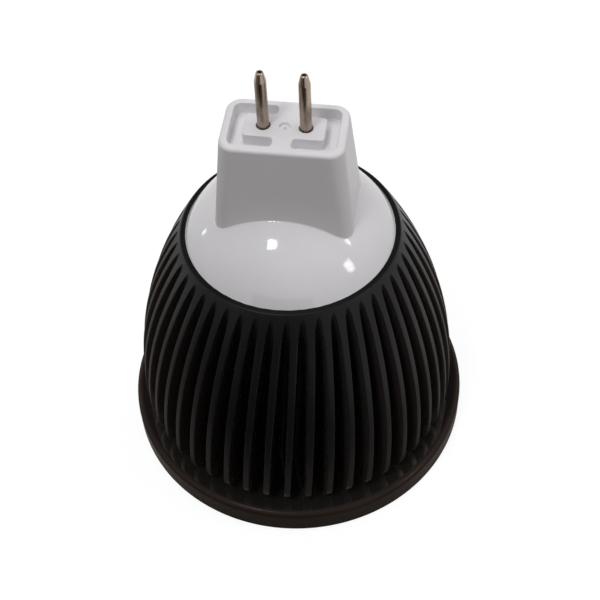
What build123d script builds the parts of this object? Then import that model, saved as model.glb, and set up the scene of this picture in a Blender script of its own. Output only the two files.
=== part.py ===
from build123d import *
import math
import os

# LED spotlight bulb of the 50 mm reflector size with a two-pin 5.33 mm base.
# It stands on its front ring with the pins up. Z is the bulb's axis, Z = 0 is the rest plane
# of the front ring, and the two pins stand on the X axis. All sizes are in millimetres.

os.makedirs("parts", exist_ok=True)

edge_tolerance = 0.01        # for picking edges by where they lie

# Front ring: a glossy ring that screws onto the heat sink and carries the lens
ring_diameter = 50.4
ring_wall = 1.6
ring_top_rounding = 0.9
ring_lip_rounding = 0.5
ledge_width = 1.9            # bright ledge left outside the feet of the fins
ledge_thickness = 1.2
hub_wall = 1.4
hub_drop = 0.6               # how far the threaded hub reaches below the ledge plate
thread_clearance = 0.05

# Lens: a moulded clear collimator with a wide front flange
front_recess = 1.4           # lens face above the rest plane
lens_flange_thickness = 1.0
lens_depth = 11.6            # flange seat to the foot on the LED board
lens_rim_clearance = 0.2
lens_side_clearance = 0.6
lens_side_bulge = 1.3
lens_foot_wall = 1.8
lens_cup_clearance = 0.7
lens_cup_depth = 4.2
lens_cup_crown = 0.9
clip_wire_radius = 0.4
clip_groove_clearance = 0.05
clip_bite = 0.15             # depth of the wire's centre line inside the ring's wall
clip_gap_angle = 24.0

# Heat sink: core, leaning fins and plain collar in one piece
fin_count = 48
fin_thickness = 0.87         # at the foot of the outline
fin_draft = 0.67             # degrees by which each face of a fin thins it outwards
fin_lean = 3.7               # degrees out of upright, all the same way
first_fin_angle = -0.95      # at half the fins' height
fin_foot_rounding = 3.0
gap_root_depth = 1.6         # how far the rounded root of a gap reaches out from the core
gap_overrun = 1.0            # how far the cut for a gap runs past the fins
body_bulge = 2.5             # rise of the turned outline over the straight line from foot to collar
collar_radius = 14.9
collar_rim = 0.7             # black rim left round the white dome
collar_edge_rounding = 0.3
collar_wall = 1.7
bore_wall = 2.05
cavity_wall = 1.3
web_thickness = 4.0
driver_bay = 18.0            # web to the top of the collar

# LED board on the front of the web
led_board_thickness = 1.6
led_board_clearance = 0.4
thermal_pad_thickness = 0.4
led_size = 3.5
led_thickness = 0.8
led_dome_radius = 1.4
board_screw_circle = 10.5    # radius of the two screw places
board_screw_radius = 1.0
board_screw_head_radius = 1.9
board_screw_head_height = 1.3
board_screw_head_rounding = 0.65
board_screw_slot = 0.6
board_screw_bite = 3.0
screw_clearance = 0.1
tap_spare_depth = 0.4

# White base housing: skirt, dome and tapered block in one moulding
skirt_clearance = 0.1
skirt_wall = 1.4
skirt_length = 6.0
snap_height = 0.35
snap_width = 1.4
snap_rise = 1.6              # snap bead's middle above the skirt's end
dome_height = 8.6
shell_wall = 1.6
base_height = 18.6           # collar to the top face of the block
block_width = 15.6
block_depth = 9.4
block_corner = 2.0
block_inner_corner = 0.6
block_draft = 5.4
block_edge_rounding = 0.5
block_foot_rounding = 0.25   # where the block grows out of the dome
block_top_wall = 3.4
groove_rim = 1.0
groove_width = 1.7
groove_depth = 1.7
groove_end_rounding = 0.6
island_corner = 0.5
bridge_width = 2.4
short_arm = 0.9              # how much sooner the back groove ends behind the right pin
dimple_radius = 0.7
dimple_depth = 0.35
gate_mark_radius = 0.22
gate_mark_height = 0.3

# Contact pins
pin_pitch = 5.33
pin_diameter = 1.5
pin_length = 8.6             # above the block's top face
pin_tip_length = 1.5
pin_tip_radius = 0.45
pin_tip_rounding = 0.22
pin_flange_radius = 1.3
pin_flange_thickness = 0.8
pin_tail = 2.5
pin_fit = 0.02
pin_mouth_clearance = 0.15
pin_mouth_depth = 1.2
pin_neck_radius = 0.55       # waist of the pin inside the mouth of its hole

# Driver inside the heat sink
sleeve_clearance = 0.1
sleeve_wall = 0.8
sleeve_floor = 0.8
driver_board_thickness = 1.6
driver_side_gap = 2.7        # board edge to the inside of the skirt
guide_depth = 1.0
guide_wall = 0.8
guide_fit = 0.1
part_gap = 0.05              # solder height under a part on the board
row_gap = 0.6                # between neighbouring parts on the board
part_chamfer = 0.15          # top edges of the moulded parts on the board
input_can_radius = 3.15
input_can_height = 9.0
output_can_radius = 2.5
output_can_height = 8.0
can_groove_rise = 1.5
can_groove_radius = 0.35
can_edge_rounding = 0.5
inductor_radius = 4.0
inductor_height = 5.0
inductor_flange = 0.8
inductor_waist = 2.2
winding_radius = 3.5
winding_clearance = 0.05
chip_width = 4.9
chip_height = 3.9
chip_thickness = 1.5
resistor_width = 1.6
resistor_height = 3.2
resistor_thickness = 0.6
diode_count = 4
diode_width = 2.7
diode_height = 1.6
diode_thickness = 1.1
diode_spacing = 4.0

# Leads
lead_radius = 0.5
lead_guide_gap = 0.5         # between a lead and the sleeve's guide for the board
lead_hole_clearance = 0.3
lead_web_clearance = 0.7
lead_bend = 1.0
lead_pad_length = 4.0
lead_foot_length = 2.6
pin_lead_pad_length = 2.0
pin_lead_bend = 2.5
pin_lead_step = 0.4          # share of a pin lead's free height that its sideways step takes

# Heights up the axis, each standing on the one before
hub_z = front_recess + lens_flange_thickness
ledge_z = hub_z + hub_drop + ledge_thickness
led_board_z = hub_z + lens_depth
thermal_pad_z = led_board_z + led_board_thickness
web_z = thermal_pad_z + thermal_pad_thickness
floor_z = web_z + web_thickness
driver_z = floor_z + sleeve_floor
collar_z = floor_z + driver_bay
skirt_z = collar_z - skirt_length
block_z = collar_z + base_height
block_ceiling_z = block_z - block_top_wall
pin_tail_z = block_ceiling_z - pin_flange_thickness - pin_tail

# Radii and places worked out from the sizes above
ring_radius = ring_diameter / 2
ring_inside_radius = ring_radius - ring_wall
foot_radius = ring_radius - ledge_width
bore_radius = collar_radius - collar_wall
core_radius = bore_radius + bore_wall
cavity_radius = core_radius - cavity_wall
hub_bore_radius = core_radius + thread_clearance
lens_flange_radius = ring_inside_radius - lens_rim_clearance
lens_cup_radius = led_size / math.sqrt(2) + lens_cup_clearance
clip_circle = ring_inside_radius + clip_bite - clip_wire_radius
clip_z = front_recess - clip_wire_radius
led_board_radius = cavity_radius - led_board_clearance
dome_edge_radius = collar_radius - collar_rim
dome_radius = (dome_edge_radius ** 2 + dome_height ** 2) / (2 * dome_height)
dome_centre_z = collar_z + dome_height - dome_radius
skirt_radius = bore_radius - skirt_clearance
skirt_inside_radius = skirt_radius - skirt_wall
sleeve_radius = bore_radius - sleeve_clearance
sleeve_inside_radius = sleeve_radius - sleeve_wall
pin_radius = pin_diameter / 2
driver_board_width = 2 * (skirt_inside_radius - driver_side_gap)
guide_edge = driver_board_width / 2 - guide_depth
inductor_z = driver_z + inductor_radius + part_gap
chip_z = driver_z + row_gap + chip_height / 2
lead_hole_radius = lead_radius + lead_hole_clearance
lead_side = driver_board_thickness / 2 + lead_radius
lead_spread = guide_edge - lead_guide_gap - lead_radius
lead_places = [(side * lead_spread, -lead_side) for side in (-1, 1)]
board_screw_places = [(0, side * board_screw_circle) for side in (-1, 1)]
pin_places = [(side * pin_pitch / 2, 0) for side in (-1, 1)]
fin_middle_z = (ledge_z + collar_z) / 2


def rod(radius, bottom, top, place=(0, 0)):
    standing = Cylinder(radius, top - bottom, align=(Align.CENTER, Align.CENTER, Align.MIN))
    return Pos(place[0], place[1], bottom) * standing


def turned(outline):
    # A closed outline of (radius, height) points and edges, turned about the bulb's axis
    return revolve(Plane.XZ * make_face(outline), Axis.Z)


def closed_polygon(points):
    return Polyline(*points, close=True)


def wire_along(points, bend):
    path = FilletPolyline(*points, radius=bend)
    start = Plane(origin=path @ 0, z_dir=path % 0)
    return sweep(start * Circle(lead_radius), path)


# Heat sink
def fin_envelope():
    foot = (foot_radius, ledge_z)
    shoulder = (collar_radius, collar_z)
    side = SagittaArc(foot, shoulder, -body_bulge)
    inside = Polyline(shoulder, (0, collar_z), (0, ledge_z), foot)
    body = turned(side + inside)
    body = fillet(body.edges().group_by(Axis.Z)[-1], collar_edge_rounding)
    return fillet(body.edges().group_by(Axis.Z)[0], fin_foot_rounding)


def fin_gap():
    # The faces of two neighbouring fins make a wedge about the X axis. Its root is the end of an ellipse
    # that both faces touch, long enough that a gap narrows to a point where it runs out below the collar.
    # All fins lean alike, so the wedge keeps its section and only shifts sideways on its way up.
    half_pitch = math.pi / fin_count
    lean = math.radians(fin_lean)
    draft = math.radians(fin_draft)
    half_fin_at_axis = fin_thickness / (2 * math.cos(lean)) + foot_radius * math.tan(draft)
    apex = half_fin_at_axis / (math.tan(half_pitch) + math.tan(draft)) / math.cos(half_pitch)
    wall_slope = math.tan(half_pitch + draft)
    root_middle = core_radius + gap_root_depth
    reach = root_middle - apex
    root_half_width = wall_slope * math.sqrt(reach ** 2 - gap_root_depth ** 2)
    touch = math.degrees(math.acos(-gap_root_depth / reach))
    root_arc = 360 - 2 * touch
    root = EllipticalCenterArc((root_middle, 0), gap_root_depth, root_half_width, touch, arc_size=root_arc)
    mouth = foot_radius + body_bulge
    mouth_half_width = (mouth - apex) * wall_slope
    walls = Polyline(root @ 0, (mouth, mouth_half_width), (mouth, -mouth_half_width), root @ 1)
    outline = root + walls
    sideways = math.tan(lean) / math.cos(half_pitch)
    bottom = ledge_z - gap_overrun
    rise = collar_z + gap_overrun - bottom
    section = Pos(0, (bottom - fin_middle_z) * sideways, bottom) * make_face(outline)
    way = Vector(0, sideways, 1) * rise
    return extrude(section, amount=way.length, dir=way)


def snap_bead(base_radius, margin):
    middle = skirt_z + snap_rise
    half = snap_width / 2 + margin
    points = [(base_radius - snap_height, middle - half), (base_radius, middle - half),
              (base_radius + snap_height + margin, middle), (base_radius, middle + half),
              (base_radius - snap_height, middle + half)]
    return turned(closed_polygon(points))


def make_heat_sink():
    gap = fin_gap()
    pitch = 360 / fin_count
    gaps = [Rot(Z=first_fin_angle + pitch * (number + 0.5)) * gap for number in range(fin_count)]
    body = fin_envelope().cut(*gaps)
    body += rod(core_radius, hub_z, ledge_z)
    body -= rod(cavity_radius, hub_z, web_z)
    body -= rod(bore_radius, floor_z, collar_z)
    body -= snap_bead(bore_radius, skirt_clearance)
    for place in board_screw_places:
        tap_top = web_z + board_screw_bite + tap_spare_depth
        body -= rod(board_screw_radius + screw_clearance / 2, web_z, tap_top, place)
    for place in lead_places:
        body -= rod(lead_radius + lead_web_clearance, web_z, floor_z, place)
    return body


# Front ring, lens and clip
def make_front_ring():
    plate_z = ledge_z - ledge_thickness
    hub_radius = hub_bore_radius + hub_wall
    ring = turned(closed_polygon([
        (ring_inside_radius, 0), (ring_radius, 0), (ring_radius, ledge_z),
        (hub_bore_radius, ledge_z), (hub_bore_radius, hub_z), (hub_radius, hub_z),
        (hub_radius, plate_z), (ring_inside_radius, plate_z)]))
    circles = ring.edges().filter_by(GeomType.CIRCLE)
    rims = circles.filter_by(lambda edge: edge.radius > ring_radius - edge_tolerance)
    ring = fillet(rims.sort_by(Axis.Z)[-1], ring_top_rounding)
    rims = ring.edges().filter_by(GeomType.CIRCLE).group_by(Axis.Z)[0]
    ring = fillet(rims.sort_by(lambda edge: edge.radius)[-1], ring_lip_rounding)
    groove = Torus(clip_circle, clip_wire_radius + clip_groove_clearance)
    return ring - Pos(0, 0, clip_z) * groove


def make_lens():
    cone_radius = cavity_radius - lens_side_clearance
    foot_outside = lens_cup_radius + lens_foot_wall
    cup_z = led_board_z - lens_cup_depth
    shoulder = (cone_radius, hub_z)
    foot = (foot_outside, led_board_z)
    cup_edge = (lens_cup_radius, cup_z)
    crown = (0, cup_z + lens_cup_crown)
    front = Polyline(crown, (0, front_recess), (lens_flange_radius, front_recess),
                     (lens_flange_radius, hub_z), shoulder)
    side = SagittaArc(shoulder, foot, -lens_side_bulge)
    cup_wall = Polyline(foot, (lens_cup_radius, led_board_z), cup_edge)
    crown_arc = TangentArc(crown, cup_edge, tangent=(1, 0))
    return turned(front + side + cup_wall + crown_arc)


def make_lens_clip():
    sweep_angle = 360 - clip_gap_angle
    path = CenterArc((0, 0, clip_z), clip_circle, clip_gap_angle / 2, sweep_angle)
    start = Plane(origin=path @ 0, z_dir=path % 0)
    return sweep(start * Circle(clip_wire_radius), path)


# LED board and what lies on it
def board_disc(bottom, top):
    disc = rod(led_board_radius, bottom, top)
    for place in board_screw_places:
        disc -= rod(board_screw_radius + screw_clearance, bottom, top, place)
    for place in lead_places:
        disc -= rod(lead_hole_radius, bottom, top, place)
    return disc


def make_led_package():
    body = Box(led_size, led_size, led_thickness, align=(Align.CENTER, Align.CENTER, Align.MAX))
    return Pos(0, 0, led_board_z) * body


def make_led_dome():
    ball = Sphere(led_dome_radius) & rod(2 * led_dome_radius, -2 * led_dome_radius, 0)
    return Pos(0, 0, led_board_z - led_thickness) * ball


def make_board_screws():
    head_z = led_board_z - board_screw_head_height
    screws = []
    for place in board_screw_places:
        head = rod(board_screw_head_radius, head_z, led_board_z, place)
        face_edge = head.edges().group_by(Axis.Z)[0]
        head = fillet(face_edge, board_screw_head_rounding)
        slot = Box(2 * board_screw_head_radius, board_screw_slot, board_screw_head_height)
        head -= Pos(place[0], place[1], head_z) * slot
        screws.append(head + rod(board_screw_radius, led_board_z, web_z + board_screw_bite, place))
    return Compound(children=screws)


# Base housing and pins
def block_section(height, inset, corner):
    growth = (block_z - height) * math.tan(math.radians(block_draft))
    width = block_width + 2 * (growth - inset)
    depth = block_depth + 2 * (growth - inset)
    return Pos(0, 0, height) * RectangleRounded(width, depth, corner)


def dome_cap(radius):
    ball = Pos(0, 0, dome_centre_z) * Sphere(radius)
    return ball & rod(2 * radius, collar_z, collar_z + 2 * radius)


def top_grooves():
    outside = RectangleRounded(block_width - 2 * groove_rim, block_depth - 2 * groove_rim,
                               block_corner - groove_rim)
    inset = groove_rim + groove_width
    island = RectangleRounded(block_width - 2 * inset, block_depth - 2 * inset, island_corner)
    brackets = outside - island - Rectangle(bridge_width, block_depth)
    half_bridge = bridge_width / 2
    short_end = half_bridge + short_arm
    brackets -= Rectangle(short_end, block_depth, align=(Align.MIN, Align.MIN))
    ends = brackets.vertices().filter_by(lambda corner: abs(abs(corner.X) - half_bridge) < edge_tolerance
                                         or abs(corner.X - short_end) < edge_tolerance)
    brackets = fillet(ends, groove_end_rounding)
    return extrude(Pos(0, 0, block_z) * brackets, -groove_depth)


def make_base_housing():
    block = loft([block_section(collar_z, 0, block_corner), block_section(block_z, 0, block_corner)])
    block = fillet(block.edges().group_by(Axis.Z)[-1], block_edge_rounding)
    hollow = loft([block_section(collar_z, shell_wall, block_inner_corner),
                   block_section(block_ceiling_z, shell_wall, block_inner_corner)])
    housing = dome_cap(dome_radius) + block
    apex_z = collar_z + dome_height
    foot_edges = housing.edges().filter_by(lambda edge: collar_z + edge_tolerance < edge.center().Z
                                           and edge.bounding_box().max.Z < apex_z)
    housing = fillet(foot_edges, block_foot_rounding)
    housing += rod(skirt_radius, skirt_z, collar_z)
    housing += snap_bead(skirt_radius, 0)
    housing -= dome_cap(dome_radius - shell_wall)
    housing -= hollow
    housing -= rod(skirt_inside_radius, skirt_z, collar_z)
    housing -= top_grooves()
    housing -= rod(dimple_radius, block_z - dimple_depth, block_z)
    gate_mark = Cone(gate_mark_radius, gate_mark_radius / 2, gate_mark_height,
                     align=(Align.CENTER, Align.CENTER, Align.MIN))
    housing += Pos(0, 0, block_z - dimple_depth) * gate_mark
    for place in pin_places:
        housing -= rod(pin_radius + pin_fit, block_ceiling_z, block_z, place)
        housing -= rod(pin_radius + pin_mouth_clearance, block_z - pin_mouth_depth, block_z, place)
    return housing


def make_pin(place):
    tip_z = block_z + pin_length
    flange_z = block_ceiling_z - pin_flange_thickness
    neck_z = block_z - pin_mouth_depth
    pin = turned(closed_polygon([
        (0, pin_tail_z), (pin_radius, pin_tail_z), (pin_radius, flange_z), (pin_flange_radius, flange_z),
        (pin_flange_radius, block_ceiling_z), (pin_radius, block_ceiling_z), (pin_radius, neck_z),
        (pin_neck_radius, neck_z), (pin_neck_radius, block_z), (pin_radius, block_z),
        (pin_radius, tip_z - pin_tip_length), (pin_tip_radius, tip_z), (0, tip_z)]))
    tip_edge = pin.edges().group_by(Axis.Z)[-1]
    return Pos(place[0], place[1], 0) * fillet(tip_edge, pin_tip_rounding)


# Driver: insulating sleeve, board and the parts on it
def make_insulating_sleeve():
    sleeve = rod(sleeve_radius, floor_z, skirt_z) - rod(sleeve_inside_radius, driver_z, skirt_z)
    guide_height = skirt_z - floor_z
    thickness = driver_board_thickness + 2 * (guide_fit + guide_wall)
    length = sleeve_radius - guide_edge
    for side in (-1, 1):
        guide = Pos(side * (guide_edge + length / 2), 0, floor_z + guide_height / 2) * Box(
            length, thickness, guide_height)
        sleeve += guide & rod(sleeve_radius, floor_z, skirt_z)
    slot = Box(driver_board_width + 2 * guide_fit, driver_board_thickness + 2 * guide_fit, guide_height,
               align=(Align.CENTER, Align.CENTER, Align.MIN))
    sleeve -= Pos(0, 0, driver_z) * slot
    for place in lead_places:
        sleeve -= rod(lead_hole_radius, floor_z, driver_z, place)
    return sleeve


def make_driver_board():
    board = Box(driver_board_width, driver_board_thickness, collar_z - driver_z,
                align=(Align.CENTER, Align.CENTER, Align.MIN))
    return Pos(0, 0, driver_z) * board


def on_board(piece, across, height, side):
    # Stands a piece modelled on the XY plane on the board's face; side is -1 for the front, 1 for the back
    face = side * (driver_board_thickness / 2 + part_gap)
    return Pos(across, face, height) * Rot(X=-90 * side) * piece


def chip_body(width, height, thickness):
    body = Box(width, height, thickness, align=(Align.CENTER, Align.CENTER, Align.MIN))
    return chamfer(body.edges().group_by(Axis.Z)[-1], part_chamfer)


def make_capacitor(radius, height, side):
    bottom = chip_z + chip_height / 2 + row_gap
    can = rod(radius, bottom, bottom + height)
    can = fillet(can.edges().group_by(Axis.Z)[-1], can_edge_rounding)
    can -= Pos(0, 0, bottom + can_groove_rise) * Torus(radius, can_groove_radius)
    across = side * (row_gap / 2 + radius)
    return Pos(across, -(driver_board_thickness / 2 + part_gap + radius), 0) * can


def make_inductor_core():
    drum = rod(inductor_radius, 0, inductor_flange)
    drum += rod(inductor_waist, inductor_flange, inductor_height - inductor_flange)
    drum += rod(inductor_radius, inductor_height - inductor_flange, inductor_height)
    return on_board(drum, 0, inductor_z, 1)


def make_inductor_winding():
    bottom = inductor_flange + winding_clearance
    top = inductor_height - bottom
    coil = rod(winding_radius, bottom, top) - rod(inductor_waist + winding_clearance, bottom, top)
    return on_board(coil, 0, inductor_z, 1)


def make_driver_chip():
    return on_board(chip_body(chip_width, chip_height, chip_thickness), 0, chip_z, -1)


def make_sense_resistors():
    across = (chip_width + resistor_width) / 2 + row_gap
    body = chip_body(resistor_width, resistor_height, resistor_thickness)
    return Compound(children=[on_board(body, side * across, chip_z, -1) for side in (-1, 1)])


def make_bridge_diodes():
    height = collar_z - pin_lead_pad_length - row_gap - diode_height / 2
    body = chip_body(diode_width, diode_height, diode_thickness)
    first = -diode_spacing * (diode_count - 1) / 2
    return Compound(children=[on_board(body, first + diode_spacing * number, height, 1)
                              for number in range(diode_count)])


# Leads
def make_led_lead(place):
    across, side = place
    outward = math.copysign(lead_foot_length, across)
    foot_z = led_board_z - part_gap - lead_radius
    return wire_along([(across, side, driver_z + lead_pad_length), (across, side, foot_z),
                       (across + outward, side, foot_z)], lead_bend)


def make_pin_lead(place):
    across = place[0]
    free = pin_tail_z - collar_z
    middle = collar_z + free / 2
    half_step = pin_lead_step * free / 2
    return wire_along([(across, 0, pin_tail_z), (across, 0, middle + half_step),
                       (across, lead_side, middle - half_step),
                       (across, lead_side, collar_z - pin_lead_pad_length)], pin_lead_bend)


nodes = {
    "heat_sink": make_heat_sink(),
    "front_ring": make_front_ring(),
    "lens": make_lens(),
    "lens_clip": make_lens_clip(),
    "led_board": board_disc(led_board_z, thermal_pad_z),
    "thermal_pad": board_disc(thermal_pad_z, web_z),
    "led_package": make_led_package(),
    "led_dome": make_led_dome(),
    "board_screws": make_board_screws(),
    "base_housing": make_base_housing(),
    "pin_left": make_pin(pin_places[0]),
    "pin_right": make_pin(pin_places[1]),
    "insulating_sleeve": make_insulating_sleeve(),
    "driver_board": make_driver_board(),
    "input_capacitor": make_capacitor(input_can_radius, input_can_height, -1),
    "output_capacitor": make_capacitor(output_can_radius, output_can_height, 1),
    "inductor_core": make_inductor_core(),
    "inductor_winding": make_inductor_winding(),
    "driver_chip": make_driver_chip(),
    "sense_resistors": make_sense_resistors(),
    "bridge_diodes": make_bridge_diodes(),
    "led_lead_left": make_led_lead(lead_places[0]),
    "led_lead_right": make_led_lead(lead_places[1]),
    "pin_lead_left": make_pin_lead(pin_places[0]),
    "pin_lead_right": make_pin_lead(pin_places[1]),
}

for name, solid in nodes.items():
    export_step(solid, f"parts/{name}.step")
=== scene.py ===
import math

import bmesh
import bpy
from mathutils import Matrix, Quaternion, Vector


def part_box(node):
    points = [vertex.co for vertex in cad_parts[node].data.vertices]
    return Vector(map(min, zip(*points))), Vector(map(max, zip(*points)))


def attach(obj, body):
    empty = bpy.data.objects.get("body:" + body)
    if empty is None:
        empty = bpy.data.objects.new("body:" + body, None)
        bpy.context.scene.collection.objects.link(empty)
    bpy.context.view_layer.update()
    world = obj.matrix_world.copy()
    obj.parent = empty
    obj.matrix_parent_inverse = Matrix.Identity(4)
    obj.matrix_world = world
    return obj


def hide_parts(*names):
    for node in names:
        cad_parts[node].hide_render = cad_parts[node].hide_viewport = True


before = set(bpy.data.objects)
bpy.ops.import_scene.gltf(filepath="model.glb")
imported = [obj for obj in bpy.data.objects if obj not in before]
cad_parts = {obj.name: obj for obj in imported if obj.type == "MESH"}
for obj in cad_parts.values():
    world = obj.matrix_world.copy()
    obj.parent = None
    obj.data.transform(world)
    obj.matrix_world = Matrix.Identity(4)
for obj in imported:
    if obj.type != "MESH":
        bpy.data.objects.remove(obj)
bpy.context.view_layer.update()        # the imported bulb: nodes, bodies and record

# An LED spotlight bulb standing on its front ring, pins up.
# Shapes are written in millimetres and turned to metres where their mesh is made.
mm = 0.001


def nodeBox(name):
    low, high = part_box(name)
    return Vector(low) / mm, Vector(high) / mm


# Heights and radii that the CAD model settles
ringHigh = nodeBox("front_ring")[1]
sinkLow, sinkHigh = nodeBox("heat_sink")
baseLow, baseHigh = nodeBox("base_housing")
pinLow, pinHigh = nodeBox("pin_right")
lensLow, lensHigh = nodeBox("lens")
clipLow, clipHigh = nodeBox("lens_clip")
ringRadius, ledgeZ = ringHigh.x, ringHigh.z
hubZ, collarZ = sinkLow.z, sinkHigh.z
webZ = nodeBox("thermal_pad")[1].z
floorZ = nodeBox("insulating_sleeve")[0].z
skirtZ, blockZ = baseLow.z, baseHigh.z
domeEdge = baseHigh.x
pinPitch = pinLow.x + pinHigh.x   # the right pin's middle is half of it from the axis
print("frame read: ring", round(ringRadius, 2), "collar", round(collarZ, 2), "block", round(blockZ, 2))


def linear(code):
    # sRGB hex to the linear colour that a socket takes
    channels = [int(code[at:at + 2], 16) / 255 for at in (1, 3, 5)]
    return [c / 12.92 if c <= 0.04045 else ((c + 0.055) / 1.055) ** 2.4 for c in channels] + [1.0]


def grain(size):
    # texture scale for a pattern of this size in millimetres
    return 1 / (size * mm)


def addNode(tree, kind, settings=None, links=None):
    # a setting is a property of the node or else one of its inputs; a link from a node is from its first output
    node = tree.nodes.new(kind)
    for key, value in (settings or {}).items():
        if isinstance(key, str) and hasattr(node, key):
            setattr(node, key, value)
        else:
            node.inputs[key].default_value = value
    for key, source in (links or {}).items():
        tree.links.new(source.outputs[0] if isinstance(source, bpy.types.Node) else source, node.inputs[key])
    return node


def emptyMaterial(name):
    material = bpy.data.materials.new(name)
    material.use_nodes = True
    material.node_tree.nodes.clear()
    return material, material.node_tree


def startMaterial(name, settings):
    # a principled shader with its uniform values, and the object coordinates for its patterns
    material, tree = emptyMaterial(name)
    shader = addNode(tree, "ShaderNodeBsdfPrincipled", settings)
    addNode(tree, "ShaderNodeOutputMaterial", links={"Surface": shader})
    place = addNode(tree, "ShaderNodeTexCoord").outputs["Object"]
    return material, tree, shader, place


def layFinish(tree, shader, look, body, gloss, height):
    # every finish has a pattern in its colour, its roughness and its relief: one mask for each
    low, high = look["colours"]
    mixed = addNode(tree, "ShaderNodeMix", {"data_type": "RGBA", 6: linear(low), 7: linear(high)}, {0: body})
    tree.links.new(mixed.outputs[2], shader.inputs["Base Color"])
    low, high = look["roughness"]
    spread = addNode(tree, "ShaderNodeMapRange", {"To Min": low, "To Max": high}, {"Value": gloss})
    tree.links.new(spread.outputs[0], shader.inputs["Roughness"])
    bump = addNode(tree, "ShaderNodeBump", {"Strength": 1.0, "Distance": look["relief"] * mm}, {"Height": height})
    tree.links.new(bump.outputs[0], shader.inputs["Normal"])


# Materials of what the eye sees; sizes and reliefs in mm
def turnedAnodising():
    # black anodised aluminium turned on a lathe: a soft grey sheen over fine rings
    look = {"colours": ("#121213", "#18191a"), "roughness": (0.32, 0.42), "specular": 0.14,
            "cloud": 9.0, "turningMarks": 0.35, "relief": 0.002}
    material, tree, shader, place = startMaterial("anodised_aluminium_turned",
                                                  {"Specular IOR Level": look["specular"]})
    cloud = addNode(tree, "ShaderNodeTexNoise", {"Scale": grain(look["cloud"]), "Detail": 3.0}, {"Vector": place})
    height = addNode(tree, "ShaderNodeSeparateXYZ", links={0: place}).outputs["Z"]
    perMetre = 2 * math.pi * grain(look["turningMarks"])
    turns = addNode(tree, "ShaderNodeMath", {"operation": "MULTIPLY", 1: perMetre}, {0: height})
    marks = addNode(tree, "ShaderNodeMath", {"operation": "SINE"}, {0: turns})
    layFinish(tree, shader, look, cloud, cloud, marks)  # marks coarser than real ones, so that they show
    return material


def gapAnodisingPaintedSheen():
    # the same anodising on the sawn faces between the fins, near black with a faint gloss, but painted lighter
    # and warmer than the turned faces: a painted sheen that lifts the shaded gaps
    # painted sheen: these body colours are lighter than the turned faces' so that the shaded gaps between the
    # fins read less dark
    look = {"colours": ("#272322", "#322d2b"), "roughness": (0.20, 0.34), "specular": 0.12,
            "streak": 0.5, "stretch": 0.08, "relief": 0.004}
    material, tree, shader, place = startMaterial("anodised_aluminium_sawn",
                                                  {"Specular IOR Level": look["specular"]})
    stretched = addNode(tree, "ShaderNodeMapping", {"Scale": (1, 1, look["stretch"])}, {"Vector": place})
    streaks = addNode(tree, "ShaderNodeTexNoise", {"Scale": grain(look["streak"])}, {"Vector": stretched})
    layFinish(tree, shader, look, streaks, streaks, streaks)
    return material


def glossLacquer():
    # black lacquer: a soft gloss with slight ripple and a warm black body
    look = {"colours": ("#251d1a", "#2c231f"), "roughness": (0.22, 0.34), "specular": 0.07,
            "ripple": 3.5, "dust": 0.6, "dustFrom": 0.60, "dustTo": 0.78, "relief": 0.003}
    material, tree, shader, place = startMaterial("gloss_lacquer", {"Specular IOR Level": look["specular"]})
    ripple = addNode(tree, "ShaderNodeTexNoise", {"Scale": grain(look["ripple"])}, {"Vector": place})
    dust = addNode(tree, "ShaderNodeTexNoise", {"Scale": grain(look["dust"]), "Detail": 6.0}, {"Vector": place})
    settled = addNode(tree, "ShaderNodeMapRange", {"From Min": look["dustFrom"], "From Max": look["dustTo"]},
                      {"Value": dust})
    layFinish(tree, shader, look, ripple, settled, ripple)
    return material


def brightCut():
    # the ring's top face, cut bright and plated black: a smoky mirror that repeats the fins
    look = {"colours": ("#8d8580", "#9c9590"), "roughness": (0.03, 0.08), "metallic": 0.96,
            "wave": 5.0, "relief": 0.004}
    material, tree, shader, place = startMaterial("black_chrome_cut", {"Metallic": look["metallic"]})
    wave = addNode(tree, "ShaderNodeTexNoise", {"Scale": grain(look["wave"])}, {"Vector": place})
    layFinish(tree, shader, look, wave, wave, wave)
    return material


def whitePolycarbonate():
    # injection-moulded polycarbonate: polished dome, spark-eroded satin on the block
    look = {"colours": ("#dad8db", "#e2e0e3"), "roughness": (0.09, 0.42), "specular": 0.42,
            "cloud": 6.0, "spark": 0.16, "relief": 0.006}
    material, tree, shader, place = startMaterial("polycarbonate_moulded",
                                                  {"Specular IOR Level": look["specular"]})
    cloud = addNode(tree, "ShaderNodeTexNoise", {"Scale": grain(look["cloud"])}, {"Vector": place})
    satin = addNode(tree, "ShaderNodeAttribute", {"attribute_name": "satin"}).outputs["Fac"]
    # the spark marks are drawn coarser than the real mould texture, so that they show
    spark = addNode(tree, "ShaderNodeTexNoise", {"Scale": grain(look["spark"])}, {"Vector": place})
    relief = addNode(tree, "ShaderNodeMath", {"operation": "MULTIPLY"}, {0: spark, 1: satin})
    layFinish(tree, shader, look, cloud, satin, relief)
    return material


def nickelPlate():
    # nickel-plated brass wire: warm grey mirror, drawn lengthwise, tarnished in places
    look = {"colours": ("#877768", "#b3a597"), "roughness": (0.20, 0.33),
            "tarnish": 1.6, "drawing": 0.12, "stretch": 0.03, "relief": 0.003}
    material, tree, shader, place = startMaterial("nickel_plated_brass", {"Metallic": 1.0})
    tarnish = addNode(tree, "ShaderNodeTexNoise", {"Scale": grain(look["tarnish"]), "Detail": 3.0},
                      {"Vector": place})
    stretched = addNode(tree, "ShaderNodeMapping", {"Scale": (1, 1, look["stretch"])}, {"Vector": place})
    drawing = addNode(tree, "ShaderNodeTexNoise", {"Scale": grain(look["drawing"])}, {"Vector": stretched})
    layFinish(tree, shader, look, tarnish, drawing, drawing)
    return material


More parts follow.
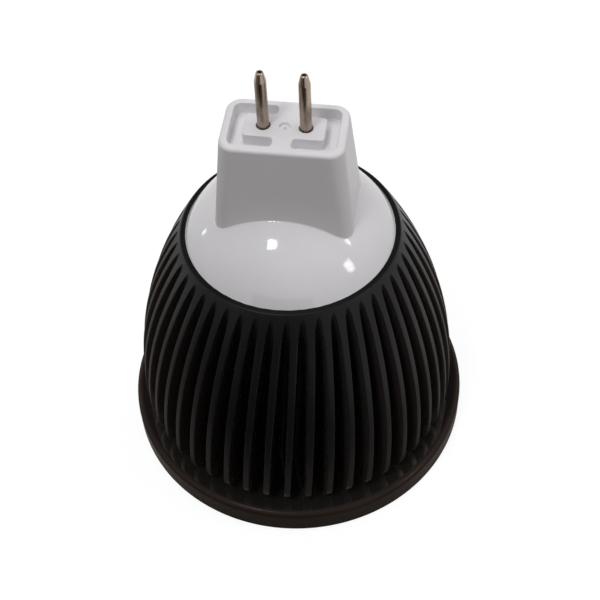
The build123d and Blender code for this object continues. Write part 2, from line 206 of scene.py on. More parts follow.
def clearAcrylic():
    # moulded acrylic: clear as glass, with a faint flow ripple
    look = {"colours": ("#f4f8f9", "#fcfdfd"), "roughness": (0.01, 0.04), "ior": 1.49,
            "flow": 4.0, "relief": 0.002}
    material, tree, shader, place = startMaterial("acrylic_clear",
                                                  {"IOR": look["ior"], "Transmission Weight": 1.0})
    flow = addNode(tree, "ShaderNodeTexNoise", {"Scale": grain(look["flow"])}, {"Vector": place})
    layFinish(tree, shader, look, flow, flow, flow)
    return material


# Materials of the pieces inside: material, two body colours, grain in mm, roughness range, relief in mm, metallic
innerFinishes = {
    "led_board": ("solder_mask_white", "#e6e6e1", "#dcdcd6", 5.0, (0.28, 0.40), 0.004, 0.0),
    "led_package": ("alumina_ceramic", "#e8e6df", "#dddad2", 0.3, (0.45, 0.60), 0.004, 0.0),
    "led_dome": ("phosphor_silicone", "#e9b92a", "#f2cb4e", 0.4, (0.10, 0.18), 0.001, 0.0),
    "thermal_pad": ("filled_silicone_pad", "#8d9197", "#7c8087", 0.4, (0.70, 0.85), 0.010, 0.0),
    "board_screws": ("zinc_plated_steel", "#b9bcc0", "#a2a5a8", 0.25, (0.24, 0.38), 0.004, 1.0),
    "insulating_sleeve": ("nylon_moulded", "#dad9d3", "#cfcec8", 1.2, (0.45, 0.60), 0.006, 0.0),
    "driver_board": ("fibreglass_board_green", "#1f6a3c", "#17552f", 0.5, (0.30, 0.42), 0.006, 0.0),
    "input_capacitor": ("shrink_film_navy", "#22243a", "#1b1c2e", 1.5, (0.22, 0.34), 0.004, 0.0),
    "output_capacitor": ("shrink_film_navy", "#22243a", "#1b1c2e", 1.5, (0.22, 0.34), 0.004, 0.0),
    "inductor_core": ("sintered_ferrite", "#3b3a3a", "#2d2c2c", 0.2, (0.55, 0.75), 0.010, 0.0),
    "inductor_winding": ("enamelled_copper", "#b4662f", "#94501f", 0.35, (0.20, 0.34), 0.030, 1.0),
    "driver_chip": ("epoxy_moulding", "#262626", "#1e1e1e", 0.12, (0.50, 0.68), 0.006, 0.0),
    "sense_resistors": ("epoxy_moulding", "#262626", "#1e1e1e", 0.12, (0.50, 0.68), 0.006, 0.0),
    "bridge_diodes": ("epoxy_moulding", "#262626", "#1e1e1e", 0.12, (0.50, 0.68), 0.006, 0.0),
    "led_lead_left": ("vinyl_black", "#1c1c1c", "#242424", 0.8, (0.35, 0.48), 0.004, 0.0),
    "led_lead_right": ("vinyl_red", "#b3201c", "#9c1a17", 0.8, (0.35, 0.48), 0.004, 0.0),
    "pin_lead_left": ("vinyl_white", "#dcdcd8", "#d0d0cb", 0.8, (0.35, 0.48), 0.004, 0.0),
    "pin_lead_right": ("vinyl_white", "#dcdcd8", "#d0d0cb", 0.8, (0.35, 0.48), 0.004, 0.0),
}


def innerMaterial(name, light, dark, size, roughness, relief, metallic):
    # body colour mottled at its own grain, with that grain in its gloss and relief too
    if name in bpy.data.materials:
        return bpy.data.materials[name]
    look = {"colours": (light, dark), "roughness": roughness, "relief": relief}
    material, tree, shader, place = startMaterial(name, {"Metallic": metallic})
    mottle = addNode(tree, "ShaderNodeTexNoise", {"Scale": grain(size), "Detail": 3.0}, {"Vector": place})
    layFinish(tree, shader, look, mottle, mottle, mottle)
    return material


# Mesh helpers
mergeDistance = 0.0015         # mm
sliver = 0.0005                # mm: faces thinner than this go
onAxis = 1e-6                  # mm: a profile this close to its axis ends in a point


def pieceFrom(name, shape, material, sharp=32):
    # a finished object from a bmesh in millimetres, smooth but for edges over the sharp angle
    bmesh.ops.remove_doubles(shape, verts=shape.verts, dist=mergeDistance)
    bmesh.ops.dissolve_degenerate(shape, edges=shape.edges, dist=sliver)
    bmesh.ops.recalc_face_normals(shape, faces=shape.faces)
    shape.transform(Matrix.Scale(mm, 4))
    mesh = bpy.data.meshes.new(name)
    shape.to_mesh(mesh)
    shape.free()
    mesh.materials.append(material)
    return smoothPiece(bpy.data.objects.new(name, mesh), sharp)


def smoothPiece(piece, sharp):
    piece.data.shade_smooth()
    piece.data.set_sharp_from_angle(angle=math.radians(sharp))
    bpy.context.scene.collection.objects.link(piece)
    return piece


def dress(piece, slotName, *nodes):
    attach(piece, "root")
    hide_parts(*nodes)
    print("made", piece.name, "with", len(piece.data.polygons), "faces")


def arc(centre, radius, start, end, steps):
    # points on an arc, angles in degrees
    angles = [math.radians(start + (end - start) * step / steps) for step in range(steps + 1)]
    return [(centre[0] + radius * math.cos(a), centre[1] + radius * math.sin(a)) for a in angles]


def bowedArc(start, end, rise):
    # centre and radius of the arc from start to end that rises this much over its chord
    chord = end - start
    radius = (chord.length_squared / 4 + rise * rise) / (2 * rise)
    outward = Vector((chord.y, -chord.x)).normalized()
    return (start + end) / 2 - outward * (radius - rise), radius


def rounded(corners, steps=6, hold=0.04):
    # closed outline from corners of (x, y, radius); short hold runs keep the flats flat beside a round corner
    points = []
    for number, (x, y, radius) in enumerate(corners):
        corner = Vector((x, y))
        before = (Vector(corners[number - 1][:2]) - corner).normalized()
        after = (Vector(corners[(number + 1) % len(corners)][:2]) - corner).normalized()
        if not radius:
            points.append(corner)
            continue
        half = before.angle(after) / 2
        reach = radius / math.tan(half)
        centre = corner + (before + after).normalized() * radius / math.sin(half)
        spoke = corner + before * reach - centre
        swing = math.copysign(math.pi - 2 * half, after.x * before.y - after.y * before.x)
        points.append(corner + before * (reach + hold))
        for step in range(steps + 1):
            points.append(centre + Matrix.Rotation(swing * step / steps, 2) @ spoke)
        points.append(corner + after * (reach + hold))
    return points


def turn(shape, profile, segments, centre=(0, 0), closed=True):
    # turns a profile of (radius, height) about an upright axis; a point on the axis becomes a pole
    rings = []
    middleX, middleY = centre
    for radius, height in profile:
        count = segments if radius > onAxis else 1
        spokes = [2 * math.pi * number / segments for number in range(count)]
        rings.append([shape.verts.new((middleX + radius * math.cos(a), middleY + radius * math.sin(a), height))
                      for a in spokes])
    following = rings[1:] + rings[:1] if closed else rings[1:]
    for low, high in zip(rings, following):
        if len(low) == len(high) == 1:
            continue
        for number in range(segments):
            ahead = number + 1
            corners = [low[number % len(low)], low[ahead % len(low)],
                       high[ahead % len(high)], high[number % len(high)]]
            shape.faces.new(dict.fromkeys(corners))


def stack(shape, loops):
    # walls between loops of as many points each
    rows = [[shape.verts.new(point) for point in loop] for loop in loops]
    for low, high in zip(rows, rows[1:]):
        for number in range(len(low)):
            ahead = (number + 1) % len(low)
            shape.faces.new((low[number], low[ahead], high[ahead], high[number]))
    return rows


def loopEdges(shape, row):
    edges = []
    for number in range(len(row)):
        pair = (row[number - 1], row[number])
        edges.append(shape.edges.get(pair) or shape.edges.new(pair))
    return edges


# Heat sink: one fin with half a gap on each side is modelled, and Geometry Nodes set it round the axis
heatSink = {
    "finCount": 48,
    "finThickness": 0.87,      # at the foot of the outline
    "finDraft": 0.67,          # degrees by which each face thins a fin outwards
    "finLean": 3.7,            # degrees out of upright
    "firstFinAngle": -0.95,    # degrees, at half the fins' height
    "finEdge": 0.14,           # rounding of the outer edges
    "footRound": 3.0,          # rounding of the fins' lower ends
    "rootDepth": 1.6,          # how far the rounded root of a gap reaches out from the core
    "ledgeWidth": 1.9,
    "bulge": 2.5,              # rise of the turned outline over its chord
    "coreRadius": 15.25,
    "collarRadius": 14.9,
    "collarEdge": 0.3,
    "boreRadius": 13.2,
    "cavityRadius": 13.95,
    "seam": 0.002,             # merging distance where the sectors meet
}


def turnedOutline():
    # centre and radius of the arc from the foot of the fins to the collar
    foot = Vector((ringRadius - heatSink["ledgeWidth"], ledgeZ))
    shoulder = Vector((heatSink["collarRadius"], collarZ))
    return bowedArc(foot, shoulder, heatSink["bulge"])


def finSector():
    outlineCentre, outlineArc = turnedOutline()
    halfPitch = math.pi / heatSink["finCount"]
    lean = math.tan(math.radians(heatSink["finLean"]))
    draft = math.radians(heatSink["finDraft"])
    halfAtAxis = heatSink["finThickness"] / 2 / math.cos(math.radians(heatSink["finLean"]))
    halfAtAxis += (ringRadius - heatSink["ledgeWidth"]) * math.tan(draft)
    core = heatSink["coreRadius"]
    apex = halfAtAxis / (math.tan(halfPitch) + math.tan(draft)) / math.cos(halfPitch)
    rootDepth = heatSink["rootDepth"]
    rootReach = core + rootDepth - apex
    rootHalf = math.tan(halfPitch + draft) * math.sqrt(rootReach ** 2 - rootDepth ** 2)
    middleZ = (ledgeZ + collarZ) / 2
    rootSteps, wallSteps, edgeSteps, faceSteps = 7, 3, 3, 2
    footRows, finRows, collarRows, rimSteps = 8, 36, 4, 5
    runOutRounds = 8           # enough to settle

    # centre of the foot's rounding and the height where it meets the turned outline
    footRound = heatSink["footRound"]
    footZ = ledgeZ + footRound
    footRadius = outlineCentre.x + math.sqrt((outlineArc - footRound) ** 2 - (footZ - outlineCentre.y) ** 2)
    footEnd = math.asin((footZ - outlineCentre.y) / (outlineArc - footRound))
    footTop = footZ + footRound * math.sin(footEnd)

    def bodyRadius(z):
        if z < footTop:
            return footRadius + math.sqrt(max(footRound ** 2 - (z - footZ) ** 2, 0))
        return outlineCentre.x + math.sqrt(outlineArc ** 2 - (z - outlineCentre.y) ** 2)

    def bodyHeight(radius):
        return outlineCentre.y + math.sqrt(outlineArc ** 2 - (radius - outlineCentre.x) ** 2)

    def rootPoint(side, share, z):
        # share runs from the middle of the gap's elliptical root to where the fin's flat face starts
        angle = share * math.acos(rootDepth / rootReach)
        x = core + rootDepth - rootDepth * math.cos(angle)
        y = -side * rootHalf * math.sin(angle) + (z - middleZ) * lean / math.cos(halfPitch)
        return Matrix.Rotation(side * halfPitch, 2) @ Vector((x, y))

    def runOut(side, share):
        # height at which the root of the gap comes out of the turned outline
        z = collarZ
        for step in range(runOutRounds):
            z = bodyHeight(rootPoint(side, share, z).length)
        return z

    def finPoint(side, part, share, z):
        middle = (z - middleZ) * lean
        start = rootPoint(side, 1, z)
        face = bodyRadius(z)
        room = face - start.length
        if room <= 0:  # on the collar, where the gap has run out
            y = start.y * face / start.length
            y += (middle - y) * (share if part == "face" else 0)
            return Vector((math.sqrt(face ** 2 - y ** 2), y))
        edge = min(heatSink["finEdge"], room / 2)
        half = halfAtAxis - face * math.tan(draft)
        centreY = middle + side * (half - edge)
        centre = Vector((math.sqrt((face - edge) ** 2 - centreY ** 2), centreY))
        if part == "wall":
            end = Vector((centre.x, middle + side * half))
            return start.lerp(end, share)
        outward = math.atan2(centre.y, centre.x)
        if part == "edge":
            angle = side * math.pi / 2 + (outward - side * math.pi / 2) * share
            return centre + edge * Vector((math.cos(angle), math.sin(angle)))
        y = centreY + edge * math.sin(outward)
        y += (middle - y) * share
        return Vector((math.sqrt(face ** 2 - y ** 2), y))

    def columnPoint(column, z):
        side, part, share = column
        if part == "root":
            point = rootPoint(side, share, z)
            return point * min(1, bodyRadius(z) / point.length)
        return finPoint(side, part, share, z)

    half = [("root", step / rootSteps) for step in range(rootSteps + 1)]
    half += [("wall", (step + 1) / wallSteps) for step in range(wallSteps)]
    half += [("edge", (step + 1) / edgeSteps) for step in range(edgeSteps)]
    half += [("face", (step + 1) / faceSteps) for step in range(faceSteps)]
    columns = [(-1, part, share) for part, share in half]
    columns += [(1, part, share) for part, share in reversed(half[:-1])]

    # the collar's rounded rim, in the plane of the turned outline
    rim = heatSink["collarEdge"]
    rimZ = collarZ - rim
    rimRadius = outlineCentre.x + math.sqrt((outlineArc - rim) ** 2 - (rimZ - outlineCentre.y) ** 2)
    rimStart = math.degrees(math.atan2(rimZ - outlineCentre.y, rimRadius - outlineCentre.x))
    rimArc = arc((rimRadius, rimZ), rim, rimStart, 90, rimSteps)

    shape = bmesh.new()
    turnedFace = shape.faces.layers.bool.new("turnedFace")
    grid = []
    footHeights = [z for radius, z in arc((footRadius, footZ), footRound, -90, math.degrees(footEnd), footRows)]
    rows = finRows - footRows
    for column in columns:
        share = column[2] if column[1] == "root" else 1
        split = runOut(column[0], share)
        heights = footHeights + [footTop + (split - footTop) * (row + 1) / rows for row in range(rows)]
        heights += [split + (rimArc[0][1] - split) * (row + 1) / collarRows for row in range(collarRows)]
        line = [columnPoint(column, z).to_3d() + Vector((0, 0, z)) for z in heights]
        for radius, z in rimArc[1:]:
            flat = columnPoint(column, z).normalized() * radius
            line.append(flat.to_3d() + Vector((0, 0, z)))
        grid.append([shape.verts.new(point) for point in line])
    for (leftColumn, left), (rightColumn, right) in zip(zip(columns, grid), zip(columns[1:], grid[1:])):
        sawn = "root" in (leftColumn[1], rightColumn[1]) or "wall" in (leftColumn[1], rightColumn[1])
        for row in range(len(left) - 1):
            face = shape.faces.new((left[row], right[row], right[row + 1], left[row + 1]))
            face[turnedFace] = row >= finRows or not sawn

    def closeEnd(row, profile, flip):
        # flat end from the outline to an inner circle, then inner walls down to the axis
        ends = [grid[0][row].co, grid[-1][row].co]
        angles = [math.atan2(end.y, end.x) for end in ends]
        spokes = [angles[0] + (angles[1] - angles[0]) * step / rootSteps for step in range(rootSteps + 1)]
        rings = [[shape.verts.new((radius * math.cos(a), radius * math.sin(a), z)) for a in spokes]
                 for radius, z in profile[:-1]]
        pole = shape.verts.new((0, 0, profile[-1][1]))
        faces = [[line[row] for line in grid] + rings[0][::-1]]
        for outer, inner in zip(rings, rings[1:]):
            faces += [(outer[k], outer[k + 1], inner[k + 1], inner[k]) for k in range(rootSteps)]
        faces += [(rings[-1][k], rings[-1][k + 1], pole) for k in range(rootSteps)]
        for corners in faces:
            shape.faces.new(corners[::-1] if flip else corners)[turnedFace] = True

    bore, cavity = heatSink["boreRadius"], heatSink["cavityRadius"]
    closeEnd(-1, [(bore, collarZ), (bore, floorZ), (0, floorZ)], False)
    closeEnd(0, [(core, ledgeZ), (core, hubZ), (cavity, hubZ), (cavity, webZ), (0, webZ)], True)
    shape.transform(Matrix.Scale(mm, 4))
    mesh = bpy.data.meshes.new("finSector")
    shape.to_mesh(mesh)
    shape.free()
    return mesh


def finRingTree(turnedFinish, sawnFinish):
    tree = bpy.data.node_groups.new("finRing", "GeometryNodeTree")
    sockets = {}
    for label, kind in (("Geometry", "NodeSocketGeometry"), ("Fin Count", "NodeSocketInt"),
                        ("First Fin Angle", "NodeSocketFloat"), ("Seam", "NodeSocketFloat"),
                        ("Turned Finish", "NodeSocketMaterial"), ("Sawn Finish", "NodeSocketMaterial")):
        sockets[label] = tree.interface.new_socket(label, in_out="INPUT", socket_type=kind).identifier
    tree.interface.new_socket("Geometry", in_out="OUTPUT", socket_type="NodeSocketGeometry")
    given = addNode(tree, "NodeGroupInput").outputs
    places = addNode(tree, "GeometryNodePoints", links={"Count": given["Fin Count"]})
    number = addNode(tree, "GeometryNodeInputIndex")
    pitch = addNode(tree, "ShaderNodeMath", {"operation": "DIVIDE", 0: 2 * math.pi}, {1: given["Fin Count"]})
    turned = addNode(tree, "ShaderNodeMath", {"operation": "MULTIPLY_ADD"},
                     {0: number, 1: pitch, 2: given["First Fin Angle"]})
    rotation = addNode(tree, "ShaderNodeCombineXYZ", links={"Z": turned})
    fins = addNode(tree, "GeometryNodeInstanceOnPoints",
                   links={"Points": places, "Instance": given["Geometry"], "Rotation": rotation})
    whole = addNode(tree, "GeometryNodeRealizeInstances", links={"Geometry": fins})
    joined = addNode(tree, "GeometryNodeMergeByDistance", links={"Geometry": whole, "Distance": given["Seam"]})
    sawn = addNode(tree, "GeometryNodeSetMaterial", links={"Geometry": joined, "Material": given["Sawn Finish"]})
    outside = addNode(tree, "GeometryNodeInputNamedAttribute", {"data_type": "BOOLEAN", "Name": "turnedFace"})
    coated = addNode(tree, "GeometryNodeSetMaterial",
                     links={"Geometry": sawn, "Selection": outside, "Material": given["Turned Finish"]})
    addNode(tree, "NodeGroupOutput", links={"Geometry": coated})
    values = {"Fin Count": heatSink["finCount"], "First Fin Angle": math.radians(heatSink["firstFinAngle"]),
              "Seam": heatSink["seam"] * mm, "Turned Finish": turnedFinish, "Sawn Finish": sawnFinish}
    return tree, {sockets[label]: value for label, value in values.items()}


def makeHeatSink():
    sector = bpy.data.objects.new("finSector", finSector())
    bpy.context.scene.collection.objects.link(sector)
    tree, inputs = finRingTree(turnedAnodising(), gapAnodisingPaintedSheen())
    modifier = sector.modifiers.new("finRing", "NODES")
    modifier.node_group = tree
    for identifier, value in inputs.items():
        modifier[identifier] = value
    evaluated = sector.evaluated_get(bpy.context.evaluated_depsgraph_get())
    mesh = bpy.data.meshes.new_from_object(evaluated)
    sector.modifiers.remove(modifier)
    bpy.data.objects.remove(sector)
    shape = bmesh.new()
    shape.from_mesh(mesh)
    bmesh.ops.dissolve_degenerate(shape, edges=shape.edges, dist=sliver * mm)
    bmesh.ops.recalc_face_normals(shape, faces=shape.faces)
    shape.to_mesh(mesh)
    shape.free()
    piece = smoothPiece(bpy.data.objects.new("heatSink", mesh), sharp=24)
    dress(piece, "anodised_aluminium", "heat_sink")


# Front ring, lens and clip are turned
frontRing = {
    "wall": 1.6,
    "topRound": 0.9,
    "lipRound": 0.5,
    "edge": 0.12,
    "ledgeThickness": 1.2,
    "hubWall": 1.4,
    "clearance": 0.05,
    "grooveDepth": 0.2,
    "grooveWidth": 0.75,
    "flatWithin": 0.001,       # from the top, for the faces that are cut bright
    "segments": 192,
}


def makeFrontRing():
    inside = ringRadius - frontRing["wall"]
    hubBore = heatSink["coreRadius"] + frontRing["clearance"]
    hub = hubBore + frontRing["hubWall"]
    plateZ = ledgeZ - frontRing["ledgeThickness"]
    edge = frontRing["edge"]
    grooveZ = (clipLow.z + clipHigh.z) / 2
    half = frontRing["grooveWidth"] / 2
    groove = inside + frontRing["grooveDepth"]
    profile = rounded([
        (inside, 0, edge), (ringRadius, 0, frontRing["lipRound"]), (ringRadius, ledgeZ, frontRing["topRound"]),
        (hubBore, ledgeZ, 0), (hubBore, hubZ, edge), (hub, hubZ, edge), (hub, plateZ, edge),
        (inside, plateZ, edge), (inside, grooveZ + half, 0), (groove, grooveZ + half / 2, edge),
        (groove, grooveZ - half / 2, edge), (inside, grooveZ - half, 0)])
    shape = bmesh.new()
    turn(shape, profile, frontRing["segments"])
    ring = pieceFrom("frontRing", shape, glossLacquer())
    ring.data.materials.append(brightCut())
    flatZ = (ledgeZ - frontRing["flatWithin"]) * mm
    for face in ring.data.polygons:
        if all(ring.data.vertices[corner].co.z > flatZ for corner in face.vertices):
            face.material_index = 1
    dress(ring, "gloss_black_ring", "front_ring")


lens = {
    "flange": 1.0,
    "coneRadius": 13.35,
    "coneBulge": 1.3,
    "footRadius": 4.975,
    "cupRadius": 3.175,
    "cupDepth": 4.2,
    "cupCrown": 0.9,
    "edge": 0.15,
    "edgeSteps": 4,
    "coneSteps": 24,
    "crownSteps": 10,
    "segments": 128,
}


def makeLens():
    flangeZ = lensLow.z + lens["flange"]
    cupZ = lensHigh.z - lens["cupDepth"]
    edge, edgeSteps = lens["edge"], lens["edgeSteps"]
    shoulder, foot = Vector((lens["coneRadius"], flangeZ)), Vector((lens["footRadius"], lensHigh.z))
    middle, bend = bowedArc(shoulder, foot, lens["coneBulge"])
    ends = [math.degrees(math.atan2(point.y - middle.y, point.x - middle.x)) for point in (shoulder, foot)]
    crown = (lens["cupRadius"] ** 2 + lens["cupCrown"] ** 2) / (2 * lens["cupCrown"])
    crownEnd = math.degrees(math.asin(lens["cupRadius"] / crown))
    profile = [(0, lensLow.z), (lensHigh.x - edge, lensLow.z)]
    profile += arc((lensHigh.x - edge, lensLow.z + edge), edge, -90, 0, edgeSteps)
    profile += arc((lensHigh.x - edge, flangeZ - edge), edge, 0, 90, edgeSteps)
    profile += arc(middle, bend, ends[0], ends[1], lens["coneSteps"])
    profile += [(lens["cupRadius"], lensHigh.z)]
    profile += arc((0, cupZ + lens["cupCrown"] - crown), crown, 90 - crownEnd, 90, lens["crownSteps"])[:-1]
    profile += [(0, cupZ + lens["cupCrown"])]
    shape = bmesh.new()
    turn(shape, profile, lens["segments"], closed=False)
    dress(pieceFrom("clearLens", shape, clearAcrylic()), "clear_acrylic", "lens")


lensClip = {
    "gapAngle": 24.0,          # degrees left open, about +X
    "segments": 180,
    "sides": 12,
}


def springSteel():
    # blackened spring wire: dark oil finish, drawn along its length
    look = {"colours": ("#2b2a29", "#45423f"), "roughness": (0.28, 0.42), "film": 0.5, "relief": 0.004}
    material, tree, shader, place = startMaterial("spring_steel_blackened", {"Metallic": 1.0})
    film = addNode(tree, "ShaderNodeTexNoise", {"Scale": grain(look["film"]), "Detail": 3.0}, {"Vector": place})
    layFinish(tree, shader, look, film, film, film)
    return material


def makeLensClip():
    wire = (clipHigh.z - clipLow.z) / 2
    circle = clipHigh.y - wire
    height = clipLow.z + wire
    start = math.radians(lensClip["gapAngle"] / 2)
    sweep = 2 * math.pi - 2 * start
    shape = bmesh.new()
    sides = [2 * math.pi * k / lensClip["sides"] for k in range(lensClip["sides"])]
    loops = []
    for step in range(lensClip["segments"] + 1):
        along = start + sweep * step / lensClip["segments"]
        loops.append([((circle + wire * math.cos(s)) * math.cos(along),
                       (circle + wire * math.cos(s)) * math.sin(along),
                       height + wire * math.sin(s)) for s in sides])
    rows = stack(shape, loops)
    shape.faces.new(rows[0])
    shape.faces.new(rows[-1][::-1])
    dress(pieceFrom("lensClip", shape, springSteel()), "spring_steel", "lens_clip")


# Base housing: dome, tapered block with its grooves, and the hollow skirt
baseHousing = {
    "domeHeight": 8.6,
    "blockWidth": 15.6,
    "blockDepth": 9.4,
    "blockCorner": 2.0,
    "blockDraft": 5.4,         # degrees
    "topRound": 0.5,
    "footRound": 0.25,
    "grooveRim": 1.0,
    "grooveWidth": 1.7,
    "grooveDepth": 1.7,
    "grooveEnd": 0.6,
    "islandCorner": 0.5,
    "bridge": 2.4,
    "shortArm": 0.9,           # how much sooner the back groove ends behind the right pin
    "lip": 0.14,               # rounding of the grooves' edges
    "root": 0.18,
    "dimpleRadius": 0.7,
    "dimpleDepth": 0.35,
    "gateRadius": 0.22,
    "gateHeight": 0.3,
    "holeRadius": 0.9,
    "holeDepth": 1.2,
    "shellWall": 1.6,
    "skirtRadius": 13.1,
    "skirtInside": 11.7,
    "snapHeight": 0.35,
    "snapZ": 1.6,
    "snapHalf": 0.7,
    "neckRadius": 4.1,         # hollow under the pins
    "ceiling": 3.4,
    "cornerSteps": 8,
    "longSteps": 16,
    "shortSteps": 9,
    "domeCrowding": 1.3,       # over 1 sets the dome's rows closer beside the block
    "holePoints": 32,
    "dimplePoints": 28,
}
hold = 0.05                    # narrow flat beside a rounding, so that large flats stay flat


def blockOutline():
    # (u, v, normal) round the block's section: u and v place the corner centres, the normal carries the rounding
    steps = baseHousing["cornerSteps"]
    signs = [(1, 1), (-1, 1), (-1, -1), (1, -1)]
    outline = []
    for number, (u, v) in enumerate(signs):
        for step in range(steps + 1):
            angle = math.pi / 2 * (number + step / steps)
            outline.append((u, v, Vector((math.cos(angle), math.sin(angle)))))
        nextU, nextV = signs[(number + 1) % 4]
        normal = outline[-1][2]
        runs = baseHousing["shortSteps"] if u == nextU else baseHousing["longSteps"]
        for step in range(1, runs):
            share = step / runs
            outline.append((u + (nextU - u) * share, v + (nextV - v) * share, normal))
    return outline


def blockPoint(spot, z, inset=0):
    u, v, normal = spot
    growth = (blockZ - z) * math.tan(math.radians(baseHousing["blockDraft"]))
    corner = baseHousing["blockCorner"]
    x = u * (baseHousing["blockWidth"] / 2 + growth - corner)
    y = v * (baseHousing["blockDepth"] / 2 + growth - corner)
    return Vector((x, y)) + normal * (corner - inset)


def blockRow(outline, z, inset=0):
    return [blockPoint(spot, z, inset).to_3d() + Vector((0, 0, z)) for spot in outline]


def offsetLoop(points, reach, z):
    # an outline moved outwards by reach, at height z
    moved = []
    for number, point in enumerate(points):
        along = points[(number + 1) % len(points)] - points[number - 1]
        outward = Vector((along.y, -along.x)).normalized()
        moved.append(((point + outward * reach).to_3d() + Vector((0, 0, z))))
    return moved


def circleLoop(radius, place, count):
    spokes = [2 * math.pi * k / count for k in range(count)]
    return [Vector((place[0] + radius * math.cos(a), place[1] + radius * math.sin(a))) for a in spokes]


def sink(shape, points, depth, lip, root):
    # a recess in the block's top face: rounded lip, wall, rounded root; gives its first and last loop
    steps = 4
    rows = [(lip + hold, 0)]
    rows += [(lip - lip * math.sin(a), lip - lip * math.cos(a))
             for a in (math.pi / 2 * k / steps for k in range(steps + 1))]
    rows += [(root * math.cos(a) - root, depth - root + root * math.sin(a))
             for a in (math.pi / 2 * k / steps for k in range(steps + 1))]
    rows += [(-root - hold, depth)]
    loops = stack(shape, [offsetLoop(points, reach, blockZ - down) for reach, down in rows])
    return loops[0], loops[-1]


def grooveOutline(side):
    # one bracket-shaped groove, counter-clockwise
    size = baseHousing
    outX, outY = size["blockWidth"] / 2 - size["grooveRim"], size["blockDepth"] / 2 - size["grooveRim"]
    inX, inY = outX - size["grooveWidth"], outY - size["grooveWidth"]
    near = size["bridge"] / 2
    back = near + size["shortArm"] if side > 0 else near
    end, island, outer = size["grooveEnd"], size["islandCorner"], size["blockCorner"] - size["grooveRim"]
    corners = [(back, outY, end), (back, inY, end), (inX, inY, island), (inX, -inY, island),
               (near, -inY, end), (near, -outY, end), (outX, -outY, outer), (outX, outY, outer)]
    if side < 0:
        corners = [(-x, y, radius) for x, y, radius in reversed(corners)]
    return rounded(corners, hold=hold)


